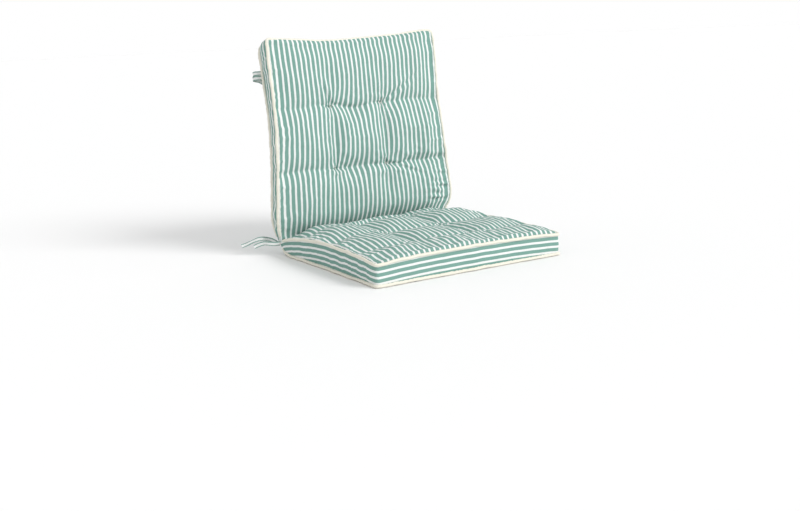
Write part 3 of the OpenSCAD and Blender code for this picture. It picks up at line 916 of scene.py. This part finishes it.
def make_tufts(section, top, low, flat, body):
    """Each tie: a crossed stitch with a knot in the dimple, a thread and a stay at the back."""
    heap = Heap()
    rng = np.random.default_rng(section.seed + 50)
    for tx in section.columns:
        for tu in section.rows:
            gap = np.hypot(flat[..., 0] - tx, flat[..., 1] - tu)
            i, j = np.unravel_index(np.argmin(gap), gap.shape)
            spot = top[i, j] + [0, 0, 0.0004]
            under = low[i, j] + [0, 0, 0.0002]
            heap.add(*tube(np.linspace(under, spot, 6), 0.0008, 8))
            for turn in (0.5, 2.1):
                d = heading(turn)
                share = np.linspace(-1, 1, 9)
                arch = 0.0018 * (1 - share**2) - 0.0016 * share**4
                heap.add(*tube(spot + d * (share * 0.0030)[:, None]
                               + UP * arch[:, None], 0.0008, 8))
            ball = np.linspace(0, 4 * math.pi, 34)
            knot = spot + np.stack([0.0011 * np.cos(ball), 0.0011 * np.sin(ball),
                                    0.0016 + 0.0007 * np.sin(1.5 * ball)], -1)
            heap.add(*tube(knot, 0.00075, 8))
            for turn in rng.uniform(0, 6.28, 2):
                share = np.linspace(0, 1, 9)
                d = heading(turn)
                tail = spot + d * (share * 0.006)[:, None] + UP * (
                    0.0020 + 0.0030 * share)[:, None]
                heap.add(*tube(tail, 0.0006 * np.linspace(1, 0.7, 9), 6))
            share = np.linspace(-1, 1, 7)
            for turn in (0.3, 1.9):
                d = heading(turn)
                bar = under + d * (share * 0.005)[:, None]
                bar = bar + UP * (0.0022 * share**2 - 0.0012)[:, None]
                heap.add(*tube(bar, 0.0008, 8))
    heap.points = [section.place(p) for p in heap.points]
    piece = heap.piece(section.name + "_tufting", TUFT_THREAD, body, "tuft_thread")
    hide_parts(section.name + "_tuft_ties")


def make_filling(section, top, low, body):
    """The soft layer and the core, kept just under the lowest cloth that is near each place."""
    n, m = top.shape[:2]
    pick = np.unique(np.concatenate([np.arange(2, n - 2, 3), [n - 3]]))
    span = np.unique(np.concatenate([np.arange(2, m - 2, 3), [m - 3]]))
    lowest, highest = top[..., 2].copy(), low[..., 2].copy()
    for axis in (0, 1):
        for _ in range(3):
            lowest = np.minimum(lowest, np.minimum(np.roll(lowest, 1, axis),
                                                   np.roll(lowest, -1, axis)))
            highest = np.maximum(highest, np.maximum(np.roll(highest, 1, axis),
                                                     np.roll(highest, -1, axis)))
    upper = np.concatenate([top[..., :2], lowest[..., None]], -1)[np.ix_(pick, span)]
    lower = np.concatenate([low[..., :2], highest[..., None]], -1)[np.ix_(pick, span)]
    upper = upper - [0, 0, 0.0022]
    lower = lower + [0, 0, 0.0020]
    room = upper[..., 2:] - lower[..., 2:]
    divide = upper - UP * np.clip(0.3 * room, 0.0005, 0.012)
    lower = np.minimum(lower, divide - [0, 0, 0.0008])
    for name, a, b, material, slot, node_name, fill in (
            ("wadding", upper, divide, WADDING_FIBRE, "wadding",
             "seat_top_wadding" if section is SEAT else "back_front_wadding", 0.6),
            ("filling", divide - [0, 0, 0.0003], lower, CORE_FIBRE, "core_filling",
             section.name + "_core", 0.7)):
        points, faces = shell(section.place(a), section.place(b))
        piece = make_piece(section.name + "_" + name + "_layer", points, faces, points,
                           material, body)
        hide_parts(node_name)


def make_section(section, body, top_node, low_node):
    """Every piece of one section. Its crowned cloth is relaxed at half resolution."""
    s, t = np.meshgrid(np.linspace(-1, 1, COLUMNS), np.linspace(0, 1, ROWS), indexing="ij")
    fine, fine_cloth = top_grid(section, s, t)
    coarse = fine[::2, ::2]
    settled = relax(section.name, coarse, holding(section, coarse[..., :2]))
    fine = fine + finer(settled - coarse)
    top, flat = fine[::2, ::2], fine[::2, ::2, :2]
    low, low_cloth = (grid[::2, ::2] for grid in low_grid(section, s, t))

    # The canvas's thickness lies on its under side.
    normal = grid_normals(fine)
    inner = fine - unit(normal * np.sign(normal[..., 2:])) * CANVAS
    points, faces = shell(section.place(fine), section.place(inner))
    flat_cloth = fine_cloth.reshape(-1, 2)
    name = section.name + ("_top_cloth" if section is SEAT else "_front_cloth")
    piece = make_piece(name, points, faces, np.concatenate([flat_cloth, flat_cloth]),
                       PANEL_CANVAS, body)
    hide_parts(top_node)

    inner = low + [0, 0, CANVAS]
    points, faces = shell(section.place(low), section.place(inner))
    flat_cloth = low_cloth.reshape(-1, 2)
    name = section.name + ("_under_cloth" if section is SEAT else "_rear_cloth")
    piece = make_piece(name, points, [f[::-1] for f in faces],
                       np.concatenate([flat_cloth, flat_cloth]), PANEL_CANVAS, body)
    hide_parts(low_node)

    top_line, low_line = border(top), border(low)
    make_boxing(section, top_line, low_line, body)
    make_piping(section, "top" if section is SEAT else "front", top_line, 0.05, body,
                section.seed + 30)
    make_piping(section, "bottom" if section is SEAT else "rear", low_line, 0.085, body,
                section.seed + 34)
    make_tufts(section, top, low, flat, body)
    make_filling(section, top, low, body)


def make_fold():
    """The rolled seam bead between the sections."""
    half = CAD_HALF_WIDTH - 0.0015
    run = np.linspace(-half, half, 150)
    line = np.stack([run, np.full_like(run, FOLD_Y), np.full_like(run, FOLD_Z)], -1)
    radius = 0.0029 * (1 + 0.05 * ripples(run, 0 * run, 0.014, 77))
    points, faces, fabric = tube(line, radius, 16)
    piece = make_piece("fold_bead", points, faces, fabric, BEAD_CANVAS, "seat")
    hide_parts("fold_seam")


make_section(SEAT, "seat", "seat_top_panel", "seat_bottom_panel")
make_section(BACK, "back", "back_front_panel", "back_rear_panel")
make_fold()


# ---------------------------------------------------------------- floor and light

def make_stage():
    material, _, shader = new_material("studio_floor", 0.7)
    shader.inputs["Base Color"].default_value = (0.9, 0.9, 0.9, 1)
    mesh = bpy.data.meshes.new("floor")
    mesh.from_pydata([(-60, -60, 0), (60, -60, 0), (60, 60, 0), (-60, 60, 0)], [], [(0, 1, 2, 3)])
    mesh.materials.append(material)
    floor = bpy.data.objects.new("floor", mesh)
    bpy.context.scene.collection.objects.link(floor)

    world = bpy.data.worlds.new("studio")
    world.use_nodes = True
    sky = world.node_tree.nodes["Background"]
    # White walls under a dimmer ceiling.
    where = node(world.node_tree, "ShaderNodeTexCoord").outputs["Generated"]
    height = node(world.node_tree, "ShaderNodeSeparateXYZ", {0: where}).outputs[2]
    walls = ramp(world.node_tree, height, [(0.27, 1.0), (0.55, 0.74)])
    world.node_tree.links.new(walls, sky.inputs["Color"])
    bpy.context.scene.world = world
    bpy.context.scene.view_settings.view_transform = "Standard"

    data = bpy.data.lights.new("key", "SUN")
    data.energy, data.angle = 1.95, math.radians(28)
    light = bpy.data.objects.new("key", data)
    light.rotation_euler = Vector((-0.45, 0.80, -0.60)).to_track_quat("-Z", "Y").to_euler()
    bpy.context.scene.collection.objects.link(light)


make_stage()
